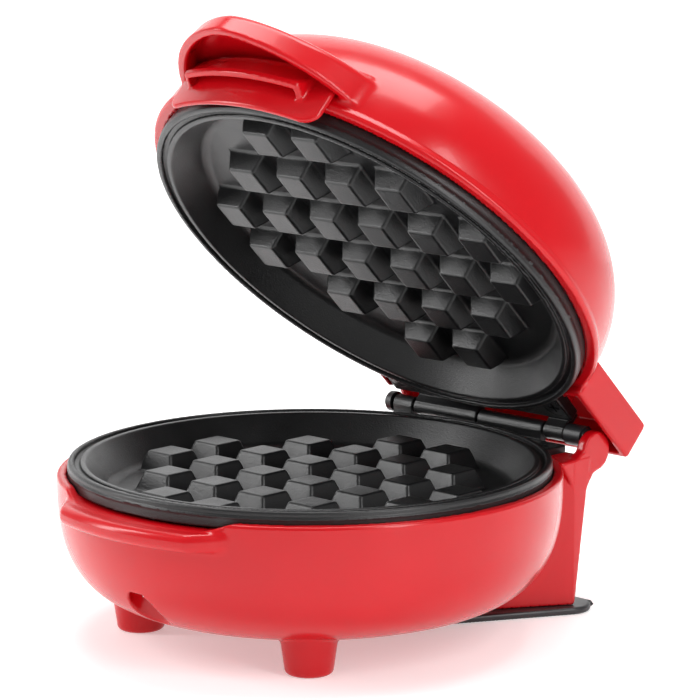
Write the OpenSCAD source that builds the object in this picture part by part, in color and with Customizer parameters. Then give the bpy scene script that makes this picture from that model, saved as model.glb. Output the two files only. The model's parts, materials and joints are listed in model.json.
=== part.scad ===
// Small round waffle maker: a bowl-shaped base on two feet and a rear stand, two cast
// cooking plates joined by a pinned hinge, and a domed lid with a visor handle.
// +Z is up, -Y is the front (handle), +Y the rear (hinge), millimetres.

/* [Cooking plates] */
// Outer radius of each plate's rim
plate_r = 70.5; // [56:0.5:86]
// Height of the rim flange that hides the joint with the housing
flange_h = 5.5; // [3.5:0.5:7]
// Width of the outer rim, of the groove behind it and of the inner lip
rim_w = 1.9; // [1.5:0.1:2.4]
groove_w = 1.7; // [1.2:0.1:2.2]
lip_w = 1.5; // [1.1:0.1:1.9]
// Depth of that groove
groove_d = 1.3; // [0.8:0.1:1.8]
// Radius of the flat cavity floor
floor_r = 59; // [46:0.5:60]
// Depth of the batter cavity below the rim
cavity_d = 9.8; // [8:0.2:12]
// Thickness of the casting under the cavity
floor_t = 3; // [2.4:0.1:4]
// Distance between neighbouring pegs
peg_pitch = 19.5; // [18:0.5:23]
// Width of a peg at its foot and at its top
peg_foot = 14.4; // [12:0.2:15]
peg_top = 10; // [8:0.2:11.5]
// Height of a peg
peg_h = 6; // [4:0.2:7]
// Space between the two closed plates
plate_gap = 0.8; // [0.5:0.1:1.6]

/* [Base housing] */
// Height of the lower plate's rim above the table
plate_z = 51; // [47:0.5:62]
// Wall of the moulded housings
shell_t = 2.2; // [1.8:0.1:2.8]
// How far the base rim stands outside the plate
base_margin = 3.2; // [2.8:0.1:4.4]
// How much of the lower flange shows above the base rim
lower_reveal = 3.5; // [2.8:0.1:4.2]
// Height of the bowl's underside and radius of its flat bottom
bowl_z = 9; // [8:0.5:11]
bowl_flat_r = 38; // [30:1:46]
// Roundness of the bowl's side (2 is an ellipse)
bowl_power = 2.8; // [2.2:0.1:3.4]
// Reach of the front lip beyond the plate and its height
front_lip_out = 8.9; // [7.5:0.1:10.5]
front_lip_h = 5.6; // [4.5:0.1:7]
// Half width over which the lip stands out fully, and where it has run back into the rim
front_lip_full = 24; // [20:1:28]
front_lip_w = 38; // [33:1:44]
// Half width and depth of the notch over the lip
notch_w = 26; // [21:1:32]
notch_d = 2.6; // [2:0.1:3.2]
// Radius of the screw recess in the bowl's front and height of its ceiling
recess_r = 5.6; // [4.8:0.1:6.2]
recess_z = 23; // [20:0.5:24.5]

/* [Stand and feet] */
// Half width of the stand at its back corners
stand_w = 46; // [40:0.5:48]
// Half width of the stand at its front corners, under the bowl
stand_front_w = 30; // [25:0.5:36]
// Lean of the stand's back face in degrees
stand_lean = 8.5; // [6:0.5:10]
// Radius of the hinge lugs and their thickness
lug_r = 6; // [5:0.1:6.4]
lug_t = 3.4; // [2.8:0.1:4]
// Radius of a front foot at the table and its widening to the top
foot_r = 6.8; // [5.6:0.1:8.2]
foot_flare = 2.4; // [1.6:0.1:3.2]
// Sideways and forward place of the front feet
foot_x = 34.4; // [28:0.5:40]
foot_y = 36; // [30:0.5:42]
// Thickness of the black rear foot plate
foot_plate_t = 2.2; // [1.8:0.1:3]

/* [Lid housing] */
// Height of the dome above its rim
dome_h = 42.2; // [36:0.2:50]
// Radius of the dome's flat top
dome_flat_r = 23; // [18:1:28]
// Roundness of the dome (2 is an ellipse)
dome_power = 2.26; // [2:0.02:2.7]
// How far the dome rim stands outside the plate
lid_margin = 3.8; // [3.2:0.1:4.8]
// How much of the upper flange shows below the dome rim
upper_reveal = 4.9; // [4:0.1:5.3]
// Reach of the rear hood to the right, over the lug, and to the left
hood_w = 49; // [47.5:0.5:52]
hood_left = 38; // [37.5:0.5:42]
// How far the hood reaches in front of and behind the hinge
hood_front = 20; // [17:0.5:24]
hood_back = 13; // [12:0.5:15]
// Heights of the hood's lower edge and top above the hinge
hood_low = 2.5; // [2:0.1:3.5]
hood_top = 15; // [13:0.5:17]

/* [Handle] */
// Half width of the visor handle where it leaves the dome
handle_w = 35.5; // [32:0.5:40]
// Roundness of the visor seen from above (2 is an ellipse)
handle_power = 1.65; // [1.5:0.05:2]
// Reach of the visor beyond the plate
handle_out = 23.5; // [20:0.5:27]
// Height above the plate's rim of the visor's lower edge, of its top at the dome and at the front
handle_low = 10; // [8.5:0.5:11]
handle_back_z = 20.8; // [19.5:0.2:23]
handle_front_z = 17.6; // [17:0.2:19]
// Wall and roof of the visor
handle_t = 3; // [2.4:0.1:3.6]
handle_roof = 2.4; // [2:0.1:2.8]
// Half width of the finger guard and how far it hangs below the upper plate's rim
guard_w = 29; // [25:0.5:32]
guard_drop = 2.3; // [1.6:0.1:3]
// Thickness of the guard panel
guard_t = 1.6; // [1.4:0.1:2]
// Half width of the finger ledge and how far it stands out of the panel
ledge_w = 22.5; // [19:0.5:24]
ledge_out = 4.2; // [3.4:0.1:5]

/* [Hinge] */
// Distance of the hinge pin behind the plate's centre, beyond the plate's radius
hinge_back = 4.9; // [4.4:0.1:6]
// Radius of the pin and of the cast knuckles
pin_r = 1.5; // [1.2:0.1:1.6]
knuckle_r = 2.6; // [2.4:0.1:2.8]
// Length of a long and of a short knuckle
long_knuckle = 25.8; // [21:0.2:28]
short_knuckle = 8; // [6.6:0.2:9]
// Half width and thickness of the cast hinge tab
tab_w = 36; // [34:0.5:38]
tab_t = 4; // [3.2:0.1:4.6]
// Angle of the open lid in degrees, 0 when closed
lid_angle = 45; // [0:1:95]

/* [Fastenings] */
// Shank radius of the larger screws and of the small ones
screw_r = 1.75; // [1.5:0.05:1.8]
small_screw_r = 1.4; // [1.1:0.1:1.6]
// Heating tube radius and the radius of its loop
tube_r = 3.2; // [2.6:0.1:3.6]
tube_loop_r = 45; // [36:0.5:48]
// Radius of the hole for the supply cord
cord_hole_r = 3.3; // [2.6:0.1:3.8]

/* [Hidden] */
$fn = 96;

red = "#d5202b";
black = "#1d1d1f";
steel = "#b9bcc0";

running = 0.05;                         // radial clearance of the pin in its knuckles
slip = 0.3;                             // gap between pieces that sit in or beside each other
eps = 0.01;                             // overlap that makes two solids one

groove_r = plate_r - rim_w;
lip_r = groove_r - groove_w;
cavity_r = lip_r - lip_w;
plate_under = cavity_d + floor_t;       // underside of the casting below the rim
flange_step = 2.6;                      // how far the flange stands over the casting's side
foot_gap_r = floor_r - 1.6;             // pegs end inside this radius
loop_gap = 18;                          // half of the loop's open angle
pin_angle = loop_gap + 2.4;             // the cold pins stand just inside its ends
pin_length = 12;
boss_h = 9;                             // screw boss that carries the heat shield

hinge_y = plate_r + hinge_back;
hinge_z = plate_z + plate_gap / 2;
tab_top = knuckle_r - plate_gap / 2 + slip;   // tab's face below the rim, clear of the other knuckles
tab_screw_x = tab_w - 4;
tab_screw_y = plate_r - 3.3;
head_r = 2 * screw_r;
joint_gap = 0.6;                        // space between neighbouring knuckles
long_x0 = joint_gap / 2;
short_x0 = long_x0 + long_knuckle + joint_gap;
barrel_x = short_x0 + short_knuckle;

base_r = plate_r + base_margin;
base_top = plate_z - lower_reveal;
seat_z = plate_z - flange_h;            // ledge that carries the lower flange
seat_r = plate_r - flange_step + slip;
lid_r = plate_r + lid_margin;
lid_z = plate_z + plate_gap;            // rim plane of the closed upper plate
dome_z = lid_z + upper_reveal;
dome_top = dome_z + dome_h;
lid_seat_z = lid_z + flange_h;

stand_back_y = hinge_y - 9.2;           // back corners of the stand at the table
stand_front_y = 0.58 * plate_r;
stand_side_y = stand_back_y - 1.2;      // the flared sides run straight from here to the back
lug_y = hinge_y + 0.2;
lug_z = hinge_z - 3.8;
foot_plate_gap = 0.05;
stand_z = foot_plate_t + foot_plate_gap;

post_y = plate_r - 6;                   // front post of the lower plate and its screw
inlet_z = 22;
inlet_y = stand_back_y + (inlet_z - stand_z) * tan(stand_lean);
lens_x = 7;
lens_y = 12;
lens_r = 2.6;
block_y = bowl_flat_r - 10;              // terminal block on the bowl's flat bottom

// Screws of the foot plate stand in bosses against the middle of the stand's side walls.
side_x = stand_w - stand_front_w;
side_y = stand_side_y - stand_front_y;
side_inset = shell_t + small_screw_r + 1.4;
foot_screw_x = stand_front_w + side_x / 2 - side_inset * side_y / norm([side_x, side_y]);
foot_screw_y = stand_front_y + side_y / 2 + side_inset * side_x / norm([side_x, side_y]);

// The whole part stands so that its box at rest is centred over the origin.
front_reach = plate_r + front_lip_out;
back_reach = hinge_y + hood_back * cos(lid_angle) + hood_top * sin(lid_angle);
centre_y = (front_reach - back_reach) / 2;

// Quarter of a superellipse from (r0, z0) out and up to (r1, z1).
function arc_points(r0, z0, r1, z1, power, steps = 22) =
    [for (i = [0:steps]) let (a = 90 * i / steps)
        [r0 + (r1 - r0) * pow(sin(a), 2 / power), z1 - (z1 - z0) * pow(cos(a), 2 / power)]];

function reversed(list) = [for (i = [len(list) - 1:-1:0]) list[i]];

module place() { translate([0, centre_y, 0]) children(); }

// Turns a piece drawn in the closed position up with the lid.
module on_lid()
    place()
        translate([0, hinge_y, hinge_z]) rotate([-lid_angle, 0, 0])
            translate([0, -hinge_y, -hinge_z]) children();

// A piece of the upper plate is drawn like the lower one and turned over.
module turned_over()
    translate([0, 0, lid_z]) rotate([0, 180, 0]) children();

module along_x(x0, x1, r, fn = 64)
    translate([x0, 0, 0]) rotate([0, 90, 0]) cylinder(h = x1 - x0, r = r, $fn = fn);

module mirrored_x() {
    children();
    mirror([1, 0, 0]) children();
}

// ---- cooking plates, drawn face up with the rim plane at z = 0 ----

module peg() {
    f = peg_foot / 2;
    t = peg_top / 2;
    polyhedron(
        points = [[-f, -f, -eps], [f, -f, -eps], [f, f, -eps], [-f, f, -eps],
                  [-t, -t, peg_h], [t, -t, peg_h], [t, t, peg_h], [-t, t, peg_h]],
        faces = [[0, 1, 2, 3], [7, 6, 5, 4], [0, 4, 5, 1], [1, 5, 6, 2], [2, 6, 7, 3], [3, 7, 4, 0]]);
}

module peg_field() {
    count = floor((foot_gap_r + peg_foot / 2) / peg_pitch + 0.5);
    intersection() {
        union()
            for (i = [-count:count - 1], j = [-count:count - 1]) {
                x = (i + 0.5) * peg_pitch;
                y = (j + 0.5) * peg_pitch;
                if (norm([x, y]) < foot_gap_r - peg_top / 2)
                    translate([x, y, -cavity_d]) peg();
            }
        translate([0, 0, -cavity_d - 1]) cylinder(h = peg_h + 2, r = foot_gap_r);
    }
}

module casting_section()
    polygon([[0, -0.3], [lip_r, -0.3], [lip_r, -groove_d], [groove_r, -groove_d], [groove_r, 0],
             [plate_r - 0.7, 0], [plate_r, -0.7], [plate_r, -flange_h],
             [plate_r - flange_step, -flange_h], [floor_r + floor_t, -plate_under], [0, -plate_under]]);

module cavity_section() {
    slope = (cavity_r - floor_r) / (cavity_d - 0.3);
    polygon([[0, -cavity_d], [floor_r, -cavity_d], [cavity_r + 3 * slope, 2.7], [0, 2.7]]);
}

// Knuckles of one plate: a short one on the left and a long one on the right.
module knuckles(r)
    translate([0, hinge_y, plate_gap / 2]) {
        along_x(long_x0, long_x0 + long_knuckle, r);
        along_x(-barrel_x, -short_x0, r);
    }

module knuckle_webs()
    for (x = [[long_x0, long_knuckle], [-barrel_x, short_knuckle]])
        translate([x[0], hinge_y - knuckle_r, -tab_top - tab_t])
            cube([x[1], knuckle_r, tab_top + tab_t + plate_gap / 2]);

module tab_hole() {
    translate([0, 0, -tab_top - tab_t - 1]) cylinder(h = tab_t + 2, r = screw_r + 0.2);
    translate([0, 0, -tab_top - head_r + screw_r])
        cylinder(h = head_r - screw_r + eps, r1 = screw_r + 0.2, r2 = head_r + 0.2);
}

module casting(post_length) {
    rotate_extrude($fn = 128) casting_section();
    translate([0, 0, -plate_under - tube_r]) rotate_extrude()
        translate([tube_loop_r - tube_r - 1.6, 0]) square([2 * tube_r + 3.2, tube_r + eps]);
    translate([0, 0, -plate_under - boss_h]) cylinder(h = boss_h + eps, r = 4.2);
    translate([-tab_w, plate_r - 10, -tab_top - tab_t])
        cube([2 * tab_w, hinge_y - plate_r + 10 - knuckle_r + 0.2, tab_t]);
    knuckles(knuckle_r);
    knuckle_webs();
    if (post_length > 0)
        translate([0, -post_y, -post_length]) cylinder(h = post_length - flange_h, r = 3.4);
}

module cooking_plate(post_length) {
    difference() {
        union() {
            difference() {
                casting(post_length);
                rotate_extrude($fn = 128) cavity_section();
            }
            peg_field();
        }
        // the pin's bore runs the whole barrel and the other plate's knuckles turn freely
        translate([0, hinge_y, plate_gap / 2]) {
            along_x(-barrel_x - 1, barrel_x + 1, pin_r + running);
            along_x(-short_x0, long_x0, knuckle_r + slip);
            along_x(long_x0 + long_knuckle, barrel_x + 2, knuckle_r + slip);
        }
        mirrored_x() translate([tab_screw_x, tab_screw_y, 0]) tab_hole();
        translate([0, 0, -plate_under - tube_r]) rotate_extrude()
            translate([tube_loop_r, 0]) circle(r = tube_r + running, $fn = 48);
        translate([0, 0, -plate_under - boss_h - 1]) cylinder(h = 8, r = screw_r - 0.3);
        if (post_length > 0)
            translate([0, -post_y, -post_length - 1]) cylinder(h = 14, r = screw_r - 0.3);
    }
}

module lower_plate()
    color(black) place() translate([0, 0, plate_z]) cooking_plate(plate_z - recess_z - shell_t - 0.1);

module upper_plate()
    color(black) on_lid() turned_over() cooking_plate(0);

// Countersunk screw with a cross in its head, head face at z = 0, pointing down.
module countersunk_screw(r, length) {
    head = 2 * r;
    difference() {
        union() {
            translate([0, 0, -length]) cylinder(h = length - 0.2, r = r, $fn = 32);
            translate([0, 0, r - head]) cylinder(h = head - r, r1 = r, r2 = head, $fn = 40);
        }
        for (a = [0, 90]) rotate(a) translate([-head * 0.6, -0.4, -1.1]) cube([head * 1.2, 0.8, 2]);
    }
}

// Screw with a low round head above z = 0 and its shank below.
module pan_screw(r, length) {
    head = 1.9 * r;
    difference() {
        union() {
            translate([0, 0, -length]) cylinder(h = length + eps, r = r, $fn = 32);
            cylinder(h = 1.1 * r, r1 = head, r2 = 0.8 * head, $fn = 40);
        }
        for (a = [0, 90])
            rotate(a) translate([-head * 0.55, -0.35, 0.5 * r]) cube([head * 1.1, 0.7, r]);
    }
}

module tab_screws(grip)
    mirrored_x() translate([tab_screw_x, tab_screw_y, -tab_top - 0.1])
        countersunk_screw(screw_r, tab_t + grip);

module lower_plate_screws()
    color(steel) place() translate([0, 0, plate_z]) tab_screws(9);

module upper_plate_screws()
    color(steel) on_lid() turned_over() tab_screws(5);

// Open heating loop with two cold pins that point away from the plate.
module element()
    translate([0, 0, -plate_under - tube_r]) {
        rotate(90 + loop_gap) rotate_extrude(angle = 360 - 2 * loop_gap)
            translate([tube_loop_r, 0]) circle(r = tube_r, $fn = 40);
        for (a = [90 - pin_angle, 90 + pin_angle])
            rotate(a) translate([tube_loop_r, 0, -pin_length]) cylinder(h = pin_length, r = 1.2, $fn = 24);
    }

module lower_element()
    color(steel) place() translate([0, 0, plate_z]) element();

module upper_element()
    color(steel) on_lid() turned_over() element();

// Pressed sheet pan that keeps the heat off the housing.
module shield() {
    sheet = 0.6;
    deep = plate_under + boss_h + 0.05;
    flange_z = -plate_under - 0.1;
    wall_r = tube_loop_r + tube_r + 2.6;
    difference() {
        rotate_extrude()
            polygon([[0, -deep], [wall_r - 2, -deep], [wall_r, flange_z - sheet], [wall_r, flange_z],
                     [wall_r + 4, flange_z], [wall_r + 4, flange_z - sheet],
                     [wall_r + sheet, flange_z - sheet], [wall_r - 2 + sheet, -deep - sheet],
                     [0, -deep - sheet]]);
        translate([0, 0, -deep - 2]) cylinder(h = 4, r = screw_r + 0.3);
        for (a = [90 - pin_angle, 90 + pin_angle])
            rotate(a) translate([tube_loop_r, 0, -deep - 2]) cylinder(h = 4, r = 2.4);
        for (x = [-20, 20]) translate([x, 4, -deep - 2]) cylinder(h = 4, r = 6.4);
    }
}

module lower_shield()
    color(steel) place() translate([0, 0, plate_z]) shield();

module upper_shield()
    color(steel) on_lid() turned_over() shield();

module shield_screw()
    translate([0, 0, -plate_under - boss_h - 0.7]) mirror([0, 0, 1]) pan_screw(screw_r - 0.35, 7);

module lower_shield_screw()
    color(steel) place() translate([0, 0, plate_z]) shield_screw();

module upper_shield_screw()
    color(steel) on_lid() turned_over() shield_screw();

// ---- hinge ----

module hinge_pin()
    color(steel) place() translate([0, hinge_y, hinge_z])
        along_x(-barrel_x - 2, barrel_x + 2, pin_r);

cap_r = knuckle_r + 0.6;

// The right cap reaches to the lug.
module pin_caps()
    color(black) place() translate([0, hinge_y, hinge_z]) for (s = [-1, 1]) {
        end = s > 0 ? stand_w - lug_t - slip : barrel_x + 3.4;
        mirror([s > 0 ? 0 : 1, 0, 0]) difference() {
            union() {
                along_x(barrel_x + joint_gap, end - 0.8, cap_r);
                along_x(end - 0.8 - eps, end, cap_r - 0.7);
            }
            along_x(barrel_x, barrel_x + 2.1, pin_r);
        }
    }

// ---- base ----

module bowl_outline()
    polygon(concat([[0, bowl_z]],
                   arc_points(bowl_flat_r, bowl_z, base_r, base_top - 1.2, bowl_power),
                   [[base_r, base_top - 1.2], [base_r - 0.4, base_top - 0.3], [base_r - 1, base_top],
                    [0, base_top]]));

module bowl_hollow()
    polygon(concat([[0, bowl_z + shell_t]],
                   arc_points(bowl_flat_r, bowl_z + shell_t, base_r - shell_t, seat_z - 4, bowl_power),
                   [[base_r - shell_t, seat_z - 4], [seat_r, seat_z - 1.5], [seat_r, seat_z],
                    [plate_r + slip, seat_z], [plate_r + slip, base_top + 1], [0, base_top + 1]]));

function smooth(t) = let (u = min(max(t, 0), 1)) u * u * (3 - 2 * u);

// Lip that the finger guard closes onto; it runs back into the rim at both ends.
module front_lip() {
    z1 = base_top - notch_d;
    z0 = z1 - front_lip_h;
    nose = 1.4;
    r1 = plate_r + front_lip_out;
    half = asin(front_lip_w / base_r);
    intersection() {
        translate([0, 0, z0]) linear_extrude(front_lip_h) polygon(concat(
            [for (i = [-30:30]) let (a = half * i / 30, t = (base_r * abs(sin(a)) - front_lip_full)
                                                           / (front_lip_w - front_lip_full),
                                     r = r1 + (base_r - 0.6 - r1) * smooth(t))
                [r * sin(a), -r * cos(a)]],
            [[0, -20]]));
        rotate_extrude($fn = 128)
            polygon([[0, z0], [r1 - nose, z0], [r1, z0 + nose], [r1, z1 - nose], [r1 - nose, z1], [0, z1]]);
    }
}

module stand_plan(inset)
    polygon([[-stand_front_w + inset, stand_front_y + inset],
             [-stand_w + inset, stand_side_y - 0.4 * inset], [-stand_w + inset, hinge_y],
             [stand_w - inset, hinge_y], [stand_w - inset, stand_side_y - 0.4 * inset],
             [stand_front_w - inset, stand_front_y + inset]]);

// Everything behind the leaning back face, moved forward by the wall where asked.
module behind_stand(inset)
    translate([-stand_w - 5, stand_back_y - inset, stand_z]) rotate([-stand_lean, 0, 0])
        translate([0, 0, -20]) cube([2 * stand_w + 10, 40, plate_z + 30]);

module stand_body(inset, z0, z1)
    translate([0, 0, z0]) linear_extrude(z1 - z0) stand_plan(inset);

// The rim dips over the lip; the dip's ends slope.
module notch()
    translate([0, -plate_r / 2, 0]) rotate([90, 0, 0]) linear_extrude(plate_r / 2 + 20)
        polygon([[-notch_w, base_top - notch_d], [notch_w, base_top - notch_d],
                 [notch_w + 12, base_top], [notch_w + 12, base_top + 20],
                 [-notch_w - 12, base_top + 20], [-notch_w - 12, base_top]]);

// Only the right side has a lug; the lid's leads pass up behind it.
module lug()
    translate([stand_w, 0, 0]) rotate([90, 0, -90]) linear_extrude(lug_t) mirror([1, 0]) {
        translate([lug_y, lug_z]) circle(r = lug_r);
        polygon([[lug_y - lug_r - 6, lug_z - 10], [lug_y - lug_r - 3, base_top - 1],
                 [lug_y - lug_r, lug_z + 0.5], [lug_y, lug_z + 2], [lug_y + lug_r - 1.2, lug_z - 3.4],
                 [lug_y - 2, lug_z - 7], [stand_back_y + 3, lug_z - 12]]);
    }

module front_foot()
    translate([foot_x, -foot_y, 0]) {
        cylinder(h = 1.2, r1 = foot_r - 1.2, r2 = foot_r);
        translate([0, 0, 1.2]) cylinder(h = bowl_z + 8, r1 = foot_r, r2 = foot_r + foot_flare);
    }

module base_solid()
    difference() {
        union() {
            rotate_extrude($fn = 128) bowl_outline();
            front_lip();
            stand_body(0, stand_z, base_top - 1);
            mirrored_x() front_foot();
        }
        behind_stand(0);
    }

module base_hollow()
    difference() {
        union() {
            rotate_extrude($fn = 128) bowl_hollow();
            stand_body(shell_t, stand_z - 1, seat_z - 1);
        }
        behind_stand(shell_t);
    }

module base_housing()
    color(red) place() difference() {
        union() {
            difference() {
                base_solid();
                base_hollow();
                notch();
            }
            lug();
            // tube and ceiling of the screw recess
            intersection() {
                translate([0, -post_y, bowl_z])
                    cylinder(h = recess_z + shell_t - bowl_z, r = recess_r + shell_t);
                rotate_extrude() bowl_outline();
            }
            difference() {
                mirrored_x() {
                    tab_boss();
                    foot_screw_boss();
                }
                behind_stand(0.5);
            }
        }
        translate([0, -post_y, -1]) cylinder(h = recess_z + 1, r = recess_r);
        translate([0, -post_y, recess_z - 1]) cylinder(h = shell_t + 2, r = screw_r + 0.3);
        inlet_axis() translate([0, 0, -10]) cylinder(h = 20, r = cord_hole_r + 2);
        mirrored_x() foot_screw_hole();
        // the plate's tab lies in the open back of the rim
        translate([-tab_w - slip, plate_r - 10 - slip, plate_z - tab_top - tab_t - 0.05])
            cube([2 * (tab_w + slip), 20, 20]);
        mirrored_x() translate([tab_screw_x, tab_screw_y, plate_z - tab_top - tab_t - 11])
            cylinder(h = 12, r = screw_r);
    }

// Post that takes the screw of the plate's tab.
module tab_boss()
    translate([tab_screw_x, tab_screw_y, plate_z - tab_top - tab_t - 14])
        cylinder(h = 13.9, r = screw_r + 2.2);

module foot_screw_boss()
    translate([foot_screw_x, foot_screw_y, stand_z + 3.2]) cylinder(h = 16, r = small_screw_r + 2.2);

module foot_screw_hole()
    translate([foot_screw_x, foot_screw_y, stand_z - 1]) cylinder(h = 14, r = small_screw_r);

module inlet_axis()
    translate([0, inlet_y, inlet_z]) rotate([-90 - stand_lean, 0, 0]) children();

module foot_plate_outline()
    hull() {
        mirrored_x() translate([stand_w - 4.5, stand_back_y + 0.2]) circle(r = 7.8);
        mirrored_x() translate([stand_front_w - 12, stand_front_y - 11]) circle(r = 10);
    }

module foot_plate()
    color(black) place() difference() {
        union() {
            linear_extrude(foot_plate_t) foot_plate_outline();
            mirrored_x() translate([foot_screw_x, foot_screw_y, 0])
                cylinder(h = stand_z + 3.1, r = small_screw_r + 1);
        }
        mirrored_x() translate([foot_screw_x, foot_screw_y, -1]) {
            cylinder(h = 10, r = small_screw_r + 0.2);
            cylinder(h = 0.4 + foot_plate_t, r = 2 * small_screw_r + 0.6);
        }
    }

module foot_plate_screws()
    color(steel) place() mirrored_x() translate([foot_screw_x, foot_screw_y, foot_plate_t - 0.65])
        mirror([0, 0, 1]) pan_screw(small_screw_r - 0.05, 12);

module base_screw()
    color(steel) place() translate([0, -post_y, recess_z - 0.05])
        mirror([0, 0, 1]) pan_screw(screw_r - 0.35, shell_t + 9);

// Bushing in the stand's back wall that the supply cord passes through.
module cord_inlet()
    color(black) place() inlet_axis() difference() {
        union() {
            cylinder(h = 2.4, r = cord_hole_r + 4);
            translate([0, 0, -shell_t - 3]) cylinder(h = shell_t + 4, r = cord_hole_r + 1.9);
            translate([0, 0, -shell_t - 2.2]) cylinder(h = 1.4, r = cord_hole_r + 3);
        }
        translate([0, 0, -10]) cylinder(h = 20, r = cord_hole_r);
    }

module terminal_block()
    color("ivory") place() translate([0, block_y, bowl_z + shell_t + 0.1]) difference() {
        translate([-14, -6, 0]) cube([28, 12, 9]);
        for (x = [-8, 0, 8]) {
            translate([x, 0, 4]) rotate([90, 0, 0]) cylinder(h = 20, r = 1.7, center = true, $fn = 32);
            translate([x, 0, 5]) cylinder(h = 8, r = 1.8, $fn = 32);
        }
    }

function unit(v) = v / norm(v);

// Curve through all points, with n steps between neighbours.
function through(p, n = 4) = concat(
    [for (i = [0:len(p) - 2], k = [0:n - 1])
        let (a = p[max(i - 1, 0)], b = p[i], c = p[i + 1], d = p[min(i + 2, len(p) - 1)], t = k / n)
            0.5 * (2 * b + (c - a) * t + (2 * a - 5 * b + 4 * c - d) * t * t
                   + (3 * b - a - 3 * c + d) * t * t * t)],
    [p[len(p) - 1]]);

function headings(p) =
    [for (i = [0:len(p) - 1]) unit(p[min(i + 1, len(p) - 1)] - p[max(i - 1, 0)])];

function level(u, h) = unit(u - (u * h) * h);

// Insulated lead along the route's points, a tube with eight sides.
module lead(route, r) {
    p = through(route);
    h = headings(p);
    side = [for (i = 0, u = level([1, 0.4, 0.2], h[0]); i < len(p);
                 i = i + 1, u = level(u, h[min(i, len(p) - 1)])) u];
    last = 8 * (len(p) - 1);
    polyhedron(
        points = [for (i = [0:len(p) - 1], k = [0:7])
            p[i] + r * (cos(45 * k) * side[i] + sin(45 * k) * cross(h[i], side[i]))],
        faces = concat(
            [[for (k = [0:7]) k], [for (k = [7:-1:0]) last + k]],
            [for (i = [0:len(p) - 2], k = [0:7]) let (a = 8 * i, m = (k + 1) % 8)
                [a + k, a + 8 + k, a + 8 + m]],
            [for (i = [0:len(p) - 2], k = [0:7]) let (a = 8 * i, m = (k + 1) % 8)
                [a + k, a + 8 + m, a + m]]));
}

pin_x = tube_loop_r * sin(pin_angle);
pin_y = tube_loop_r * cos(pin_angle);

module base_wiring() {
    z0 = bowl_z + shell_t + 4.1;
    pin_end = plate_z - plate_under - tube_r - pin_length;
    color("white") place() {
        for (s = [-1, 1]) {
            lead([[8 * s, block_y + 3, z0], [8 * s, block_y + 10, z0], [9 * s, block_y + 18, z0 + 3],
                  [4 * s, inlet_y - 15, inlet_z - 1], [1.6 * s, inlet_y - 7, inlet_z]], 1.3);
            lead([[8 * s, block_y - 3, z0], [8 * s, block_y - 9, z0], [16 * s, block_y - 12, z0 + 1],
                  [24 * s, block_y - 2, z0], [pin_x * s, pin_y - 5, z0 + 1],
                  [pin_x * s, pin_y, pin_end - 0.9]], 1.1);
        }
        lead([[0, block_y - 3, z0], [0, block_y - 9, z0], [-6, 8, z0 + 1],
              [-14, 4, z0 + 3], [-20, 4, plate_z - plate_under - boss_h - 3]], 1.1);
    }
}

// Thermal fuse in its sleeve, clipped under the lower plate.
module thermal_fuse()
    color("white") place() translate([-20, 4, plate_z - plate_under - 3.2]) {
        along_x(-9, 9, 2.6, 32);
        along_x(-13, 13, 0.8, 20);
        translate([-2, -3.4, -2.9]) cube([4, 6.8, 6]);
        translate([0, 0, -8.6]) cylinder(h = 6, r = 0.8, $fn = 20);
    }

// ---- lid ----

module dome_outline()
    polygon(concat([[0, dome_z], [lid_r - 0.6, dome_z], [lid_r, dome_z + 0.6], [lid_r, dome_z + 1.8],
                    [lid_r - 0.5, dome_z + 2.4]],
                   [for (p = reversed(arc_points(dome_flat_r, 0, lid_r - 0.5, dome_h - 2.4, dome_power)))
                       [p[0], dome_top - p[1]]],
                   [[0, dome_top]]));

module dome_hollow()
    polygon(concat([[0, dome_z - 1], [plate_r + slip, dome_z - 1], [plate_r + slip, lid_seat_z],
                    [seat_r, lid_seat_z], [seat_r, lid_seat_z + 1.5],
                    [lid_r - 0.5 - shell_t, lid_seat_z + 4.5]],
                   [for (p = reversed(arc_points(dome_flat_r, 0, lid_r - 0.5 - shell_t,
                                                 dome_top - lid_seat_z - 5.5 - shell_t, dome_power)))
                       [p[0], dome_top - shell_t - p[1]]],
                   [[0, dome_top - shell_t]]));

handle_y0 = plate_r - 11;               // the legs run straight forward to here, then curve round
handle_reach = plate_r + handle_out - handle_y0;

// The visor's outline seen from above, front and sides.
module handle_plan(inset)
    translate([0, -handle_y0])
        polygon(concat(
            [for (i = [0:60]) let (t = 180 * i / 60, c = cos(t), k = 2 / handle_power)
                [(handle_w - inset) * sign(c) * pow(abs(c), k), -(handle_reach - inset) * pow(sin(t), k)]],
            [[-handle_w + inset, 25], [handle_w - inset, 25]]));

module from_front(length)
    translate([0, -plate_r - handle_out - 5, 0]) rotate([90, 0, 180]) mirror([1, 0, 0])
        linear_extrude(length) children();

// The visor seen from the side: its top falls towards the front.
module visor_side(low, drop)
    translate([-handle_w - 1, 0, plate_z]) rotate([90, 0, 90]) linear_extrude(2 * handle_w + 2) {
        fall = (handle_back_z - handle_front_z) / handle_reach;
        polygon([[-handle_y0 + 25, low], [-handle_y0 - handle_reach - 1, low],
                 [-handle_y0 - handle_reach - 1, handle_front_z - fall - drop],
                 [-handle_y0 + 25, handle_back_z + 25 * fall - drop]]);
    }

module visor_block(inset, low, drop)
    intersection() {
        translate([0, 0, plate_z]) linear_extrude(handle_back_z + 10) handle_plan(inset);
        visor_side(low, drop);
    }

module visor()
    difference() {
        visor_block(0, handle_low, 0);
        visor_block(handle_t, handle_low - 1, handle_roof);
    }

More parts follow.
